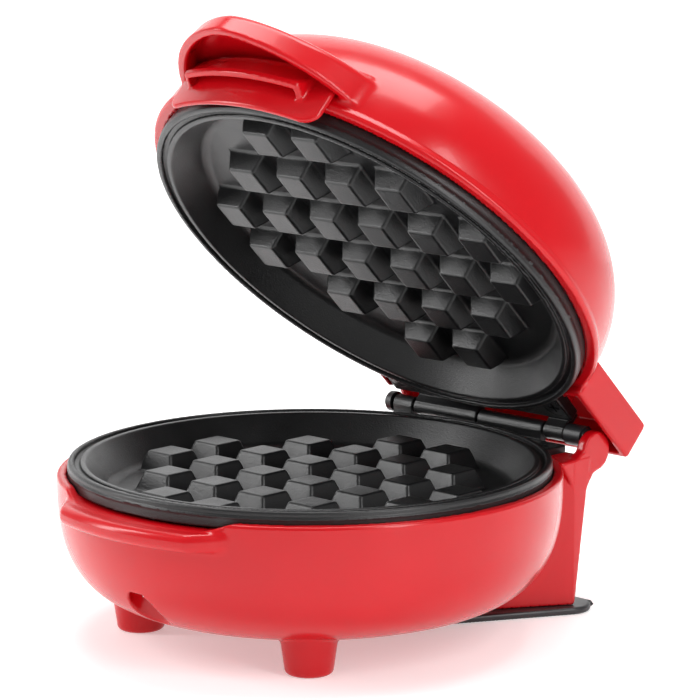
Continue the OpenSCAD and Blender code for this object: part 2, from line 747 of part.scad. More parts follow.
module hood_box(inset, z0)
    translate([0, hinge_y, hinge_z]) rotate([90, 0, 90])
        translate([0, 0, -hood_left + inset]) linear_extrude(hood_left + hood_w - 2 * inset) difference() {
            translate([-hood_front, z0]) square([hood_front + hood_back - inset, hood_top - z0 - inset]);
            // the top and lower back corners are rounded
            translate([hood_back - inset - 2.4, hood_top - inset - 2.4]) difference() {
                square(5);
                circle(r = 2.4, $fn = 48);
            }
        }

lid_tab_z = lid_z + tab_top + tab_t;    // back of the closed upper plate's tab

module lid_housing()
    color(red) on_lid() difference() {
        union() {
            difference() {
                union() {
                    rotate_extrude($fn = 128) dome_outline();
                    visor();
                    hood_box(0, hood_low);
                }
                rotate_extrude($fn = 128) dome_hollow();
                difference() {
                    hood_box(shell_t, hood_low - 5);
                    rotate_extrude($fn = 128) dome_outline();
                }
            }
            mirrored_x() translate([tab_screw_x, tab_screw_y, lid_tab_z + 0.1])
                cylinder(h = hinge_z + hood_top - 1 - lid_tab_z, r = screw_r + 2.2);
        }
        // the plate's tab and the knuckles lie in the open back of the rim
        translate([-tab_w - slip, plate_r - 10 - slip, dome_z - 5])
            cube([2 * (tab_w + slip), hinge_y - plate_r + 14, lid_tab_z + 0.05 - dome_z + 5]);
        translate([0, hinge_y, hinge_z]) along_x(-tab_w - 5, tab_w + 5, knuckle_r + 2.5);
        // the hood's left end stays clear of the plate's flange
        translate([0, 0, lid_z - 1]) cylinder(h = dome_z - lid_z + 1.1, r = plate_r + slip, $fn = 128);
        mirrored_x() translate([tab_screw_x, tab_screw_y, lid_tab_z - 1]) cylinder(h = 7, r = screw_r);
        for (x = [-lens_x, lens_x])
            translate([x, -lens_y, dome_top - shell_t - 1]) cylinder(h = 10, r = lens_r + 0.1, $fn = 48);
        mirrored_x() guard_hole(small_screw_r + 0.2);
    }

guard_in = lid_r + 0.05;
guard_out = guard_in + guard_t;
guard_low = lid_z - guard_drop;
guard_top = plate_z + 15.2;
ledge_z = plate_z + 6.8;

module guard_hole(r)
    rotate(11) translate([0, -lid_r - guard_t - 1, plate_z + 13]) rotate([-90, 0, 0])
        cylinder(h = 12, r = r, $fn = 32);

// Finger guard: a panel that hangs over the rims and a hollow ledge for the fingertips.
module handle_guard() {
    corner = 5;
    color(red) on_lid() difference() {
        union() {
            intersection() {
                rotate_extrude() polygon([[guard_in, guard_low], [guard_out, guard_low],
                                          [guard_out, guard_top], [guard_in, guard_top]]);
                from_front(40) {
                    translate([-guard_w, guard_low + corner]) square([2 * guard_w, guard_top]);
                    translate([-guard_w + corner, guard_low]) square([2 * (guard_w - corner), corner + 1]);
                    for (s = [-1, 1])
                        translate([s * (guard_w - corner), guard_low + corner]) circle(r = corner);
                }
            }
            intersection() {
                rotate_extrude()
                    polygon([[guard_in, guard_top], [guard_out, guard_top],
                             [guard_out + ledge_out, ledge_z + 0.6], [guard_out + ledge_out, ledge_z - 0.8],
                             [guard_out + ledge_out - 1.4, ledge_z - 1.2],
                             [guard_out + ledge_out - 1.6, ledge_z - 0.2], [guard_out - 0.4, guard_top - 2],
                             [guard_in, guard_top - 2]]);
                from_front(40) translate([-ledge_w, 0]) square([2 * ledge_w, 200]);
            }
            // closed ends of the ledge
            mirrored_x() intersection() {
                rotate_extrude()
                    polygon([[guard_in, guard_top], [guard_out, guard_top],
                             [guard_out + ledge_out, ledge_z + 0.6], [guard_out + ledge_out, ledge_z - 0.8],
                             [guard_in, ledge_z - 3]]);
                from_front(40) translate([ledge_w - 1.6, 0]) square([1.6, 200]);
            }
        }
        mirrored_x() guard_hole(small_screw_r - 0.1);
    }
}

module guard_screws()
    color(steel) on_lid() mirrored_x()
        rotate(11) translate([0, -lid_r + shell_t + 0.6, plate_z + 13]) rotate([-90, 0, 0])
            pan_screw(small_screw_r - 0.15, shell_t + 2.2);

// Bimetal thermostat against the back of the upper plate.
module thermostat()
    color("dimgray") on_lid() turned_over() translate([20, 4, -plate_under]) {
        translate([0, 0, -0.9]) cylinder(h = 0.8, r = 8);
        translate([0, 0, -5]) cylinder(h = 4.2, r = 7);
        for (s = [-1, 1]) translate([3.4 * s - 0.4, -2.2, -12]) cube([0.8, 4.4, 7.1]);
    }

module lens(x)
    on_lid() translate([x, -lens_y, dome_top]) {
        translate([0, 0, -shell_t - 0.6]) cylinder(h = shell_t + 0.6, r = lens_r, $fn = 48);
        cylinder(h = 0.5, r1 = lens_r, r2 = lens_r - 0.6, $fn = 48);
        translate([0, 0, -shell_t - 1.6]) cylinder(h = 1.5, r = lens_r + 1, $fn = 48);
    }

module power_lens() color("crimson") lens(-lens_x);

module ready_lens() color("limegreen") lens(lens_x);

// Two neon lamps on a small carrier under the lenses.
module indicator_lamps()
    color("ivory") on_lid() translate([0, -lens_y, dome_top - shell_t - 13]) {
        translate([-lens_x - 4, -4, 0]) cube([2 * lens_x + 8, 8, 1.6]);
        for (s = [-1, 1]) translate([lens_x * s, 0, 1.5]) {
            cylinder(h = 6, r = 2, $fn = 32);
            translate([0, 0, 6]) sphere(r = 2, $fn = 32);
        }
    }

module lid_wiring() {
    lamp_z = dome_top - shell_t - 14.2;
    pin_end = lid_z + plate_under + tube_r + pin_length;
    stat_z = lid_z + plate_under + 12;
    color("white") on_lid() {
        lead([[pin_x, pin_y, pin_end + 0.9], [pin_x, pin_y - 3, pin_end + 3], [14, 24, pin_end + 4],
              [10, 4, lamp_z - 4], [lens_x, -lens_y, lamp_z]], 1.1);
        lead([[-pin_x, pin_y, pin_end + 0.9], [-pin_x, pin_y - 3, pin_end + 3], [-22, 24, pin_end + 2],
              [-23.4, 9, stat_z + 3], [-23.4, 4, stat_z + 1.2]], 1.1);
        lead([[-16.6, 4, stat_z + 1.2], [-16, 2, stat_z + 3], [-10, -4, lamp_z - 2],
              [-lens_x, -lens_y, lamp_z]], 1.1);
    }
}

base_housing();
foot_plate();
foot_plate_screws();
base_screw();
cord_inlet();
terminal_block();
base_wiring();
lower_plate();
lower_plate_screws();
lower_element();
lower_shield();
lower_shield_screw();
thermal_fuse();
hinge_pin();
pin_caps();
lid_housing();
handle_guard();
guard_screws();
upper_plate();
upper_plate_screws();
upper_element();
upper_shield();
upper_shield_screw();
thermostat();
lid_wiring();
power_lens();
ready_lens();
indicator_lamps();
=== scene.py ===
import json
import math

import bpy
import numpy as np
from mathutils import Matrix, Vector


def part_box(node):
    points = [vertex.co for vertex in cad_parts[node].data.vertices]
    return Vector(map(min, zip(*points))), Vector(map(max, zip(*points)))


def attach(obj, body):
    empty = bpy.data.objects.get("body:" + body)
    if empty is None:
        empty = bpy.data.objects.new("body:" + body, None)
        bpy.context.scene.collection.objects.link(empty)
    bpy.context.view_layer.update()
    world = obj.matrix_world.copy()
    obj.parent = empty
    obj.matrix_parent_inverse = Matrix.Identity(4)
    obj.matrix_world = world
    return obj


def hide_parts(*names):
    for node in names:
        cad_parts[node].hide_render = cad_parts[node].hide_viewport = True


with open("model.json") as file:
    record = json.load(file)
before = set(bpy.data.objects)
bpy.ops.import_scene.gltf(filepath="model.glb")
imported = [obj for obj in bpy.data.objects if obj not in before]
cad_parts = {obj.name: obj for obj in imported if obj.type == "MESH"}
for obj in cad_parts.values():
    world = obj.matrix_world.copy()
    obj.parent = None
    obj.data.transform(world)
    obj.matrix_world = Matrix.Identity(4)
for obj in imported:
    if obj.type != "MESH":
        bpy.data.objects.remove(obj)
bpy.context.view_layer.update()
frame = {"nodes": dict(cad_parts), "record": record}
scene = bpy.context.scene

# ---------------------------------------------------------------- sizes, in millimetres
# The moulded shapes are worked out around the plates' axis, with the table at z = 0 and the
# lid closed. One move brings them into the row frame, and the lid is then turned to its rest.
PLATE_R, PLATE_Z, GAP = 70.5, 51.0, 0.8
HINGE = (75.4, PLATE_Z + GAP / 2)
pin_lo, pin_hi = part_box("hinge_pin")
SHIFT = (pin_lo.y + pin_hi.y) * 500 - HINGE[0]            # the pin's middle, in millimetres
LID_ANGLE = -frame["record"]["behaviour"]["joints"][0]["range_deg"][0]

# ---------------------------------------------------------------- camera
AIM = Vector((59.04, -45.35 + SHIFT, 96.32)) / 1000
AZIMUTH, ELEVATION, DISTANCE = math.radians(43.52), math.radians(10.58), 0.9103
SENSOR = 36
back = Vector((math.sin(AZIMUTH) * math.cos(ELEVATION), -math.cos(AZIMUTH) * math.cos(ELEVATION),
               math.sin(ELEVATION)))
cam_data = bpy.data.cameras.new("camera")
cam_data.sensor_width = SENSOR
cam_data.lens = SENSOR * 34 / 7               # a narrow view, as from a few paces away
cam_data.clip_start, cam_data.clip_end = 0.01, 20
camera = bpy.data.objects.new("camera", cam_data)
scene.collection.objects.link(camera)
camera.location = AIM + back * DISTANCE
camera.rotation_mode = "QUATERNION"
camera.rotation_quaternion = (-back).to_track_quat("-Z", "Y")
scene.camera = camera
scene.view_settings.view_transform = "Standard"


# ---------------------------------------------------------------- distance fields
# Every field takes arrays of x, y, z and gives the distance to the surface, negative inside.
def join(a, b, r):
    """Both solids, with a concave fillet of radius r between them."""
    return np.maximum(r, np.minimum(a, b)) - np.hypot(np.maximum(r - a, 0), np.maximum(r - b, 0))


def meet(a, b, r):
    """What both solids share, with its edge rounded to radius r."""
    return np.minimum(-r, np.maximum(a, b)) + np.hypot(np.maximum(r + a, 0), np.maximum(r + b, 0))


def cut(a, b, r):
    """The first solid without the second, edges rounded to radius r."""
    return meet(a, -b, r)


def slab(v, lo, hi):
    """Everything between two values of v."""
    return np.abs(v - (lo + hi) / 2) - (hi - lo) / 2


def brick(x, y, z, lo, hi, r):
    """Box with every edge rounded."""
    q = [np.abs(v - (a + b) / 2) - (b - a) / 2 + r for v, a, b in zip((x, y, z), lo, hi)]
    outside = np.sqrt(sum(np.maximum(v, 0) ** 2 for v in q))
    return outside + np.minimum(np.maximum(np.maximum(q[0], q[1]), q[2]), 0) - r


def swell(r, z, flat, a, b, power):
    """Flat-topped superellipse of revolution; below z = 0 it runs on as a cylinder."""
    u = np.maximum(r - flat, 1e-6) / a
    v = np.maximum(z, 1e-6) / b
    rho = (u ** power + v ** power) ** (1 / power)
    slope = np.hypot((u / rho) ** (power - 1) / a, (v / rho) ** (power - 1) / b)
    return (rho - 1) / slope


def line(u, v, a, b):
    """Signed distance to the line through a and b, positive on its right-hand side."""
    du, dv = b[0] - a[0], b[1] - a[1]
    return ((u - a[0]) * dv - (v - a[1]) * du) / math.hypot(du, dv)


def polygon(u, v, points):
    """Signed distance to a polygon, whichever way round its points run."""
    d = np.full(u.shape, 1e9)
    inside = np.zeros(u.shape, bool)
    for (ax, ay), (bx, by) in zip(points, points[1:] + points[:1]):
        ex, ey, wx, wy = bx - ax, by - ay, u - ax, v - ay
        t = np.clip((wx * ex + wy * ey) / (ex * ex + ey * ey), 0, 1)
        d = np.minimum(d, (wx - t * ex) ** 2 + (wy - t * ey) ** 2)
        crosses = ((ay > v) != (by > v)) & (u < (bx - ax) * (v - ay) / (by - ay + 1e-30) + ax)
        inside ^= crosses
    return np.where(inside, -1, 1) * np.sqrt(d)


# ---------------------------------------------------------------- from field to mesh
BLOCK = 8
FINE = 1.0


def sample(field, lo, hi, step):
    """The field on a grid, worked out only in the blocks that the surface may cross."""
    lo = np.array(lo, float)
    blocks = np.ceil((np.array(hi) - lo) / step / BLOCK).astype(int) + 1
    centres = [lo[a] + step * (BLOCK * np.arange(blocks[a]) + (BLOCK - 1) / 2) for a in range(3)]
    x, y, z = (g.ravel() for g in np.meshgrid(*centres, indexing="ij"))
    coarse = field(x, y, z)
    reach = 1.3 * step * BLOCK / 2 * math.sqrt(3) + step
    active = np.flatnonzero(np.abs(coarse) < reach)
    grid = np.repeat(coarse[:, None], BLOCK ** 3, axis=1).astype(np.float32)
    off = np.stack([g.ravel() for g in np.meshgrid(*[np.arange(BLOCK) * step] * 3, indexing="ij")])
    half = step * (BLOCK - 1) / 2
    for start in range(0, len(active), 600):
        part = active[start:start + 600]
        px = (x[part, None] - half + off[0]).ravel()
        py = (y[part, None] - half + off[1]).ravel()
        pz = (z[part, None] - half + off[2]).ravel()
        grid[part] = field(px, py, pz).reshape(len(part), -1)
    grid = grid.reshape(*blocks, BLOCK, BLOCK, BLOCK).transpose(0, 3, 1, 4, 2, 5)
    return lo, np.ascontiguousarray(grid.reshape(*(blocks * BLOCK)))


def nets(lo, d, step):
    """One vertex in each cell that the surface crosses, one quad across each crossed edge."""
    s = d < 0
    shape = np.array(d.shape) - 1
    corner = [s[i:i + shape[0], j:j + shape[1], k:k + shape[2]]
              for i in (0, 1) for j in (0, 1) for k in (0, 1)]
    crossed = np.logical_or.reduce(corner) & ~np.logical_and.reduce(corner)
    cells = np.argwhere(crossed)
    number = np.full(tuple(shape), -1, np.int32)
    number[crossed] = np.arange(len(cells))
    total, count = np.zeros((len(cells), 3)), np.zeros(len(cells))
    for axis in range(3):
        for p in (0, 1):
            for q in (0, 1):
                a = np.insert([p, q], axis, 0)
                b = np.insert([p, q], axis, 1)
                da, db = d[tuple((cells + a).T)], d[tuple((cells + b).T)]
                hit = (da < 0) != (db < 0)
                t = da[hit] / (da[hit] - db[hit])
                total[hit] += a + t[:, None] * (b - a)
                count[hit] += 1
    verts = lo + step * (cells + total / count[:, None])
    quads = []
    for axis in range(3):
        u, v = [(1, 2), (2, 0), (0, 1)][axis]
        low = [slice(1, -1)] * 3
        low[axis] = slice(0, -1)
        high = list(low)
        high[axis] = slice(1, None)
        sa, sb = s[tuple(low)], s[tuple(high)]
        for inward in (True, False):
            e = np.argwhere((sa & ~sb) if inward else (~sa & sb))
            e[:, u] += 1
            e[:, v] += 1
            ring = []
            for du, dv in ((1, 1), (0, 1), (0, 0), (1, 0)):
                c = e.copy()
                c[:, u] -= du
                c[:, v] -= dv
                ring.append(number[tuple(c.T)])
            quads.append(np.stack(ring if inward else ring[::-1], axis=1))
    return verts, np.concatenate(quads)


def moulded(name, field, lo, hi, step, lid=False):
    """Mesh of a field, each vertex drawn onto the exact surface and given its exact normal."""
    step *= FINE
    origin, grid = sample(field, lo, hi, step)
    v, q = nets(origin, grid, step)
    f = lambda p: field(p[:, 0], p[:, 1], p[:, 2])

    def slope(p, h):
        g = np.empty_like(p)
        for a in range(3):
            up, down = p.copy(), p.copy()
            up[:, a] += h
            down[:, a] -= h
            g[:, a] = (f(up) - f(down)) / (2 * h)
        return g

    for _ in range(2):
        g = slope(v, 0.02)
        move = -f(v)[:, None] * g / np.maximum((g * g).sum(1), 0.2)[:, None]
        size = np.linalg.norm(move, axis=1, keepdims=True)
        v += move * np.minimum(1, 0.45 * step / np.maximum(size, 1e-9))
    n = slope(v, 0.12)
    n /= np.maximum(np.linalg.norm(n, axis=1, keepdims=True), 1e-9)
    used = np.zeros(len(v), bool)
    used[q.ravel()] = True
    remap = np.cumsum(used) - 1
    return solid(name, v[used], remap[q], n[used], lid)


def to_row(v, n, lid):
    """From the plates' axis to the row frame in metres, the lid turned to its rest."""
    v = v.copy()
    if lid:
        a = math.radians(-LID_ANGLE)
        turn = np.array([[1, 0, 0], [0, math.cos(a), -math.sin(a)], [0, math.sin(a), math.cos(a)]])
        pivot = np.array([0, *HINGE])
        v = (v - pivot) @ turn.T + pivot
        n = n @ turn.T
    v[:, 1] += SHIFT
    return v / 1000, n


def solid(name, v, q, n, lid):
    """Object with the vertices v, the quads q and the vertex normals n, riding on its body."""
    v, n = to_row(v, n, lid)
    mesh = bpy.data.meshes.new(name)
    mesh.vertices.add(len(v))
    mesh.vertices.foreach_set("co", v.ravel())
    mesh.loops.add(q.size)
    mesh.loops.foreach_set("vertex_index", q.ravel())
    mesh.polygons.add(len(q))
    mesh.polygons.foreach_set("loop_start", np.arange(0, q.size, 4))
    mesh.polygons.foreach_set("loop_total", np.full(len(q), 4))
    mesh.polygons.foreach_set("use_smooth", np.ones(len(q), bool))
    mesh.update()
    mesh.validate()
    mesh.normals_split_custom_set_from_vertices(n.tolist())
    obj = bpy.data.objects.new(name, mesh)
    scene.collection.objects.link(obj)
    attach(obj, "lid" if lid else "base")
    return obj


# ---------------------------------------------------------------- sizes that pieces share
WALL = 2.2                                    # wall of the moulded housings
SLIP = 0.3                                    # gap round what sits in the housings
FLANGE = 5.5                                  # depth of a plate's rim flange
SEAT_IN = 2.3                                 # how far the ledge reaches in under the flange
TAB_TOP, TAB_T, TAB_W = 2.5, 4.0, 36.0        # a plate's hinge tab: depth, thickness, half width
SCREW = (TAB_W - 4, PLATE_R - 3.3)            # the tab's screws
FOOT_SCREW = (33.85, 55.72)                   # the foot plate's screws
BOSS_R, PILOT_R = 3.95, 1.8                   # post for a tab screw and the hole in it
GUARD_TURN = math.radians(11)                 # where the guard's screws stand, from the front
GUARD_SCREW_Z = PLATE_Z + 13


def at_tab_screw(x, y):
    return np.hypot(np.abs(x) - SCREW[0], y - SCREW[1])


def at_foot_screw(x, y):
    return np.hypot(np.abs(x) - FOOT_SCREW[0], y - FOOT_SCREW[1])


def at_guard_screw(x, y, z):
    """Distances from the guard's screw axis and along it."""
    ax = np.abs(x)
    side = ax * math.cos(GUARD_TURN) + y * math.sin(GUARD_TURN)
    along = ax * math.sin(GUARD_TURN) - y * math.cos(GUARD_TURN)
    return np.hypot(side, z - GUARD_SCREW_Z), along


# ---------------------------------------------------------------- base housing
RIM = PLATE_Z - 3.5                           # top of the base rim
SEAT = PLATE_Z - FLANGE                       # ledge that carries the lower flange
RIM_BAND = 1.2                                # upright band at the top of the bowl
BOWL_R, BOWL_FLAT, BOWL_BOTTOM, BOWL_POWER = PLATE_R + 3.2, 38, 9, 2.8
LIP_OUT, LIP_FULL, LIP_END = 8.9, 24, 38      # lip's reach, half widths of its front and its ends
LIP_MID, LIP_HALF, LIP_ROUND = 42.1, 2.8, 2.4
DIP_DEPTH, DIP_FLAT, DIP_RUN = 2.6, 24, 18    # dip of the rim over the lip
STAND_LEAN = math.radians(8.5)
STAND_Z = 2.25
STAND_W, STAND_FRONT_W = 46, 30
STAND_BACK = HINGE[0] - 9.2
STAND_FRONT = 0.58 * PLATE_R
FOOT_X, FOOT_Y, FOOT_R, FOOT_FLARE = 34.4, 36, 6.8, 2.4
LUG_R, LUG_T = 6, 3.4
LUG_AT = (HINGE[0] + 0.2, HINGE[1] - 3.8)
POST_Y = -(PLATE_R - 6)                       # lower plate's front post, over the screw recess
RECESS_R, RECESS_Z, RECESS_WALL = 5.6, 23, 2.2
INLET_Z, INLET_R = 22, 5.3


def ease(t):
    """Smooth step from 0 to 1."""
    t = np.clip(t, 0, 1)
    return t * t * (3 - 2 * t)


def stand_back(y, z, inset):
    """Distance behind the stand's leaning back face."""
    return (y - STAND_BACK) * math.cos(STAND_LEAN) - (z - STAND_Z) * math.sin(STAND_LEAN) + inset


def stand_side(x, y, inset):
    """Distance outside the stand's sides, which flare towards the back."""
    ax = np.abs(x)
    flare = line(ax, y, (STAND_FRONT_W, STAND_FRONT), (STAND_W, STAND_BACK - 1.2)) + inset
    return np.maximum(flare, ax - STAND_W + inset)


def stand(x, y, z):
    d = meet(stand_side(x, y, 0), STAND_FRONT - y, 1.0)
    d = meet(d, STAND_Z - z, 0.4)
    return meet(d, z - RIM + 1, 0.5)


def bowl(r, z, inset=0.0):
    deep = RIM - RIM_BAND
    return swell(r, deep - z, BOWL_FLAT, BOWL_R - BOWL_FLAT, deep - BOWL_BOTTOM, BOWL_POWER) + inset


def front_lip(x, y, z):
    """Lip that the finger guard closes onto; it runs back into the rim at both ends."""
    ax = np.abs(x)
    reach = PLATE_R + LIP_OUT * (1 - ease((ax - LIP_FULL) / (LIP_END - LIP_FULL)))
    q = (np.hypot(x, y) - reach) * 0.88 + LIP_ROUND
    h = np.abs(z - LIP_MID) - LIP_HALF + LIP_ROUND
    lip = np.hypot(np.maximum(q, 0), np.maximum(h, 0)) + np.minimum(np.maximum(q, h), 0) - LIP_ROUND
    return np.maximum(lip, np.maximum(y + 40, ax - LIP_END - 0.5))


def rim_dip(x, y, z):
    """What the rim loses over the lip; the dip's ends slope."""
    drop = DIP_DEPTH * (1 - 2 * ease((np.abs(x) - DIP_FLAT) / DIP_RUN))
    return np.maximum((RIM - drop - z) * 0.93, y + PLATE_R / 2)


def front_foot(x, y, z):
    """Round foot that widens towards the bowl."""
    side = np.hypot(np.abs(x) - FOOT_X, y + FOOT_Y) - FOOT_R - FOOT_FLARE * z / 17
    return np.maximum(meet(side * 0.99, -z, 1.3), z - 16)


def hinge_lug(x, y, z):
    """The one lug, on the right, with its neck down to the stand."""
    eye = np.hypot(y - LUG_AT[0], z - LUG_AT[1]) - LUG_R
    neck = polygon(y, z, [(STAND_BACK + 1, 34), (59, 46.4), (66, 46.4), (70.5, 49), (79, 44.2),
                          (73.9, 40.6), (71.2, 37)])
    return meet(join(eye, neck, 0.8), slab(x, STAND_W - LUG_T, STAND_W), 0.7)


def base_hollow(x, y, z):
    """Room inside the bowl and the stand, open at the plate's seat."""
    r = np.hypot(x, y)
    room = meet(bowl(r, z, WALL), z - SEAT + 4, 0.2)
    room = join(room, np.maximum(r - PLATE_R + SEAT_IN, slab(z, SEAT - 6, SEAT + 1)), 0.2)
    room = np.minimum(room, np.maximum(r - PLATE_R - SLIP, SEAT - z))
    inner = np.maximum(np.maximum(stand_side(x, y, WALL), STAND_FRONT + WALL - y), z - SEAT + 1)
    return np.maximum(np.minimum(room, inner), stand_back(y, z, WALL))


def screw_recess(d, x, y, z):
    """Round recess in the bowl's front, with the hole of the screw in its ceiling."""
    r = np.hypot(x, y - POST_Y)
    tube = np.maximum(r - RECESS_R - RECESS_WALL, z - RECESS_Z - RECESS_WALL)
    d = np.minimum(d, np.maximum(tube, bowl(np.hypot(x, y), z)))
    d = cut(d, np.maximum(r - RECESS_R, z - RECESS_Z), 0.6)
    return cut(d, r - 2.05, 0.2)


def base_bosses(d, x, y, z):
    """Posts for the screws of the plate's tab and of the foot plate."""
    under = PLATE_Z - TAB_TOP - TAB_T
    r = at_tab_screw(x, y)
    post = np.maximum(np.maximum(r - BOSS_R, slab(z, under - 14, under - 0.1)), stand_back(y, z, 0.5))
    d = np.minimum(d, post)
    d = cut(d, np.maximum(r - PILOT_R, slab(z, under - 11, under + 1)), 0.1)
    r = at_foot_screw(x, y)
    d = np.minimum(d, np.maximum(r - 3.6, slab(z, STAND_Z + 3.2, STAND_Z + 19.2)))
    return cut(d, np.maximum(r - 1.5, slab(z, STAND_Z - 1, STAND_Z + 13)), 0.1)


def tab_slot(x, y, z):
    """Open back of the rim, where the plate's tab lies."""
    low = PLATE_Z - TAB_TOP - TAB_T - 0.05
    return np.maximum(np.abs(x) - TAB_W - SLIP, np.maximum(PLATE_R - 10 - SLIP - y, low - z))


def cord_hole(x, y, z):
    """Hole for the inlet, square to the leaning back face."""
    inlet_y = STAND_BACK + (INLET_Z - STAND_Z) * math.tan(STAND_LEAN)
    across = (z - INLET_Z) * math.cos(STAND_LEAN) + (y - inlet_y) * math.sin(STAND_LEAN)
    return np.maximum(np.hypot(x, across) - INLET_R, 50 - y)


def base_field(x, y, z):
    d = join(bowl(np.hypot(x, y), z), front_lip(x, y, z), 1.2)
    d = join(d, stand(x, y, z), 0.7)
    d = join(d, front_foot(x, y, z), 0.8)
    d = meet(d, z - RIM, 0.9)
    d = meet(d, stand_back(y, z, 0), 0.8)
    d = cut(d, rim_dip(x, y, z), 0.5)
    d = join(d, hinge_lug(x, y, z), 0.3)
    d = cut(d, base_hollow(x, y, z), 0.35)
    d = base_bosses(screw_recess(d, x, y, z), x, y, z)
    d = cut(d, tab_slot(x, y, z), 0.4)
    return cut(d, cord_hole(x, y, z), 0.3)


# ---------------------------------------------------------------- lid housing
LID_RIM = PLATE_Z + GAP                       # rim plane of the closed upper plate
DOME_LOW = LID_RIM + 4.9                      # lower edge of the dome
DOME_R, DOME_FLAT, DOME_POWER = PLATE_R + 3.8, 23, 2.26
DOME_TOP = DOME_LOW + 42.2
DOME_BAND = 2.4                               # height of the bead round the dome's edge
LID_SEAT = LID_RIM + FLANGE
TAB_BACK = LID_RIM + TAB_TOP + TAB_T
HOOD_LEFT, HOOD_RIGHT = -38, 49
HOOD_FRONT, HOOD_REAR = HINGE[0] - 20, HINGE[0] + 13
HOOD_LOW, HOOD_TOP = HINGE[1] + 2.5, HINGE[1] + 15
VISOR_W, VISOR_POWER = 35.5, 1.65
VISOR_Y = PLATE_R - 11                        # the visor's sides run straight forward to here
VISOR_DEEP = 23.5 + 11
VISOR_LOW, VISOR_BACK_Z = 10, 20.8            # lower edge, and the roof at the dome, above PLATE_Z
VISOR_WALL, VISOR_ROOF = 3.0, 2.4
VISOR_FALL = 3.2 / VISOR_DEEP                 # the roof falls towards the front
LENS_X, LENS_Y, LENS_HOLE_R = 7, 12, 2.7


def dome(r, z):
    side = DOME_R - 0.5
    low = DOME_LOW + DOME_BAND
    return swell(r, z - low, DOME_FLAT, side - DOME_FLAT, DOME_TOP - low, DOME_POWER)


def visor_block(x, y, z, inset, drop, rounding):
    """Visor's outside, or the room inside it, its face leaning back a little."""
    forward = -y - VISOR_Y
    lean = 0.26 * np.clip(forward / VISOR_DEEP, 0, 1) * np.maximum(z - VISOR_LOW - PLATE_Z, 0)
    plan = swell(np.abs(x), forward, 0, VISOR_W - inset, VISOR_DEEP - inset, VISOR_POWER) + lean
    top = (z - PLATE_Z - VISOR_BACK_Z + drop + VISOR_FALL * forward) / math.hypot(1, VISOR_FALL)
    return meet(plan, top, rounding)


def visor(x, y, z):
    d = meet(visor_block(x, y, z, 0, 0, 2.2), PLATE_Z + VISOR_LOW - z, 0.8)
    d = cut(d, visor_block(x, y, z, VISOR_WALL, VISOR_ROOF, 1.6), 0.8)
    return np.maximum(d, y + 45)


def hood(x, y, z):
    """Squared hood over the hinge, longer on the right; its rear edges are rounder."""
    d = brick(x, y, z, (HOOD_LEFT, HOOD_FRONT, HOOD_LOW), (HOOD_RIGHT, HOOD_REAR, HOOD_TOP), 1.0)
    rear = brick(x, y, z, (-60, HOOD_FRONT - 9, HOOD_LOW - 20), (60, HOOD_REAR, HOOD_TOP), 2.4)
    room = brick(x, y, z, (HOOD_LEFT + WALL, HOOD_FRONT + WALL, HOOD_LOW - 9),
                 (HOOD_RIGHT - WALL, HOOD_REAR - WALL, HOOD_TOP - WALL), 0.8)
    return cut(meet(d, rear, 0.1), room, 0.5)


def lid_hollow(r, z):
    """Room inside the dome, open at the plate's seat and clear of its flange below."""
    room = meet(dome(r, z) + WALL, LID_SEAT + 1.5 - z, 0.2)
    room = np.minimum(room, np.maximum(r - PLATE_R + SEAT_IN, z - LID_SEAT - 3))
    room = np.minimum(room, np.maximum(r - PLATE_R - SLIP, z - LID_SEAT))
    return np.minimum(room, np.maximum(r - PLATE_R - SLIP, z - DOME_LOW - 0.1))


def hinge_room(d, x, y, z):
    """Posts of the tab screws, and the room for the plate's tab and the knuckles."""
    ax, r = np.abs(x), at_tab_screw(x, y)
    d = np.minimum(d, np.maximum(r - BOSS_R, slab(z, TAB_BACK + 0.1, HOOD_TOP - 1)))
    slot = np.maximum(ax - TAB_W - SLIP, slab(y, PLATE_R - 10 - SLIP, PLATE_R + 9))
    d = cut(d, np.maximum(slot, z - TAB_BACK - 0.05), 0.3)
    barrel = np.hypot(y - HINGE[0], z - HINGE[1]) - 5.1
    d = cut(d, np.maximum(barrel, ax - 41), 0.3)
    return cut(d, np.maximum(r - PILOT_R, z - TAB_BACK - 6), 0.1)


def lid_field(x, y, z):
    r = np.hypot(x, y)
    bead = np.hypot(r - DOME_R + 1.25, z - DOME_LOW - 1.3) - 1.25
    d = meet(join(dome(r, z), bead, 0.5), DOME_LOW - z, 0.5)
    d = join(d, visor(x, y, z), 1.6)
    d = join(d, hood(x, y, z), 0.6)
    d = cut(d, lid_hollow(r, z), 0.35)
    d = hinge_room(d, x, y, z)
    lens = np.hypot(np.abs(x) - LENS_X, y + LENS_Y)
    d = cut(d, np.maximum(lens - LENS_HOLE_R, DOME_TOP - 4 - z), 0.25)
    away, along = at_guard_screw(x, y, z)
    return cut(d, np.maximum(away - 1.6, slab(along, 60, 78)), 0.1)


# ---------------------------------------------------------------- finger guard
GUARD_IN = DOME_R + 0.05
GUARD_OUT = GUARD_IN + 1.6
GUARD_W, GUARD_CORNER = 29, 5
GUARD_LOW = LID_RIM - 2.3
GUARD_TOP = PLATE_Z + 15.2
LEDGE_Z = PLATE_Z + 6.8
LEDGE_W, LEDGE_WALL = 22.5, 1.6
LEDGE_R = GUARD_OUT + 4.2


